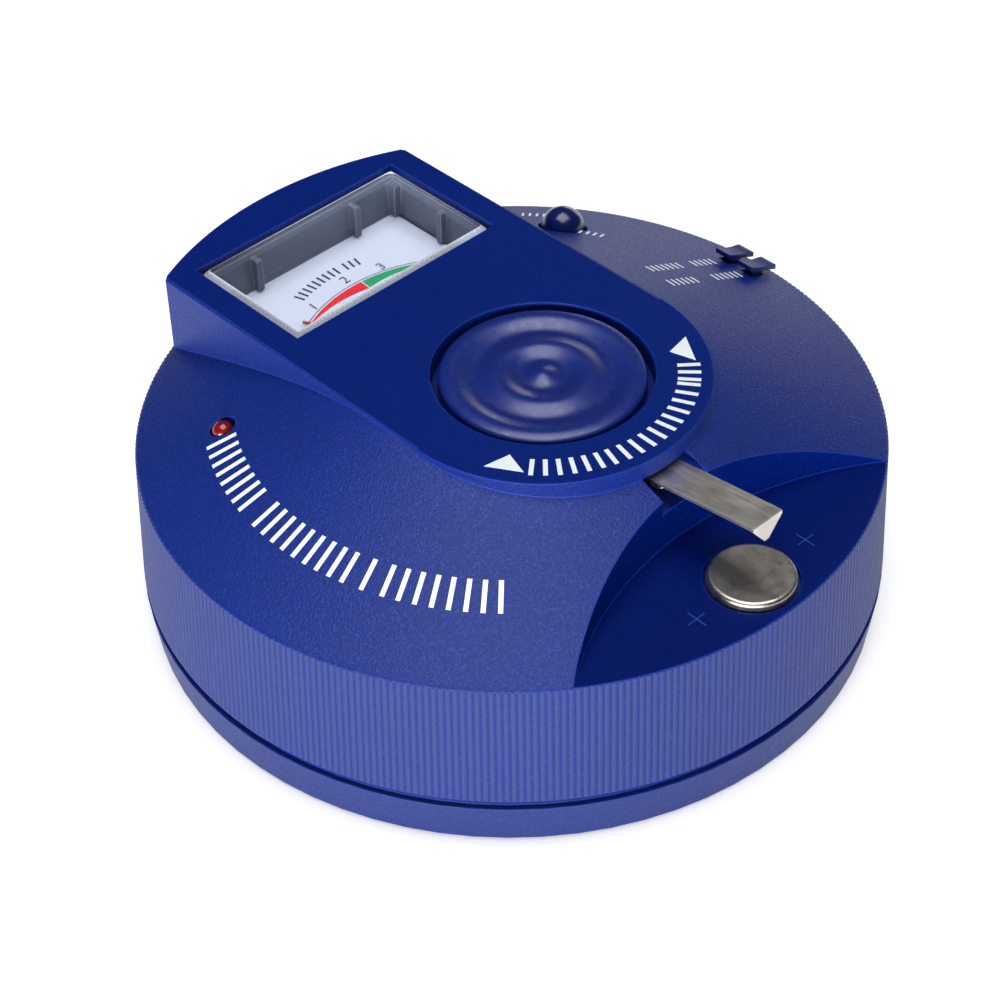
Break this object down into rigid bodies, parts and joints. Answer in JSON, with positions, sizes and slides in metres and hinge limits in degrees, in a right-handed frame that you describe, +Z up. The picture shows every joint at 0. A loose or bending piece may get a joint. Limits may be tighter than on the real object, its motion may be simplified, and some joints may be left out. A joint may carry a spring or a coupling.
{
  "type": "watch and battery tester",
  "caption": "Round bench tester for quartz watches and button cells, with an analogue meter, a sensor pad, a sprung contact arm over a contact disc, a lamp and push buttons.",
  "frame": {"origin": "on the surface it stands on, under the centre of the round body", "axes": "+Z up, +Y towards the meter, -Y towards the contact recess, +X towards the two rim buttons"},
  "size_m": [0.1018, 0.1018, 0.0385],
  "materials": {
    "blue_shell": "satin moulded plastic, finely textured",
    "gloss_pad": "polished moulded plastic",
    "dark_button": "polished",
    "clear_window": "clear polished plastic",
    "grey_case": "satin",
    "dial_card": "printed card",
    "needle_red": "painted",
    "lamp_red": "clear red, moulded",
    "nickel": "nickel plated",
    "steel": "zinc plated",
    "copper": "enamelled wire",
    "ferrite": "sintered",
    "board_green": "lacquered laminate",
    "black_plastic": "moulded",
    "rubber": "moulded",
    "cell_jacket": "printed film over steel"
  },
  "bodies": {
    "housing": {"upper_housing": "blue_shell", "base_cover": "blue_shell", "case_screw_1": "steel", "case_screw_2": "steel", "case_screw_3": "steel", "case_screw_4": "steel", "foot_1": "rubber", "foot_2": "rubber", "foot_3": "rubber", "foot_4": "rubber", "sensor_pad": "gloss_pad", "pickup_coil": "copper", "coil_core": "ferrite", "contact_disc": "nickel", "disc_nut": "nickel", "arm_pin": "steel", "arm_spring": "steel", "meter_window": "clear_window", "meter_case": "grey_case", "meter_dial": "dial_card", "meter_magnet": "ferrite", "meter_screw_1": "steel", "meter_screw_2": "steel", "led_lamp": "lamp_red", "led_spacer": "black_plastic", "power_switch": "black_plastic", "switch_riser": "black_plastic", "test_switch_a": "black_plastic", "test_switch_b": "black_plastic", "circuit_board": "board_green", "board_screw_1": "steel", "board_screw_2": "steel", "battery_cell_a": "cell_jacket", "battery_cell_b": "cell_jacket", "cell_contact_a": "nickel", "cell_contact_b": "nickel", "cell_bridge": "nickel"},
    "arm": {"contact_arm": "nickel"},
    "movement": {"meter_coil": "copper", "meter_needle": "needle_red"},
    "power_cap": {"power_button": "dark_button"},
    "test_cap_a": {"test_button_a": "dark_button"},
    "test_cap_b": {"test_button_b": "dark_button"},
    "door": {"battery_door": "blue_shell"}
  },
  "joints": [
    {"name": "arm_hinge", "type": "hinge", "parent": "housing", "child": "arm", "pos_m": [0, -0.0242, 0.0343], "axis": [1, 0, 0], "range_deg": [0, 18.5], "stiffness_Nm_per_rad": 0.02, "springref_deg": -6.88, "deforming": ["arm_spring"]},
    {"name": "needle_pivot", "type": "hinge", "parent": "housing", "child": "movement", "pos_m": [0, 0.0125, 0.03], "axis": [0, 0, -1], "range_deg": [0, 58], "stiffness_Nm_per_rad": 0.0004, "springref_deg": -5.73},
    {"name": "power_press", "type": "slide", "parent": "housing", "child": "power_cap", "axis": [-0.3224, -0.2215, -0.9203], "range_m": [0, 0.001], "stiffness_N_per_m": 600, "springref_m": -0.0005},
    {"name": "test_press_a", "type": "slide", "parent": "housing", "child": "test_cap_a", "axis": [0, 0, -1], "range_m": [0, 0.0008], "stiffness_N_per_m": 600, "springref_m": -0.0005},
    {"name": "test_press_b", "type": "slide", "parent": "housing", "child": "test_cap_b", "axis": [0, 0, -1], "range_m": [0, 0.0008], "stiffness_N_per_m": 600, "springref_m": -0.0005},
    {"name": "door_slide", "type": "slide", "parent": "housing", "child": "door", "axis": [1, 0, 0], "range_m": [0, 0.006]}
  ]
}
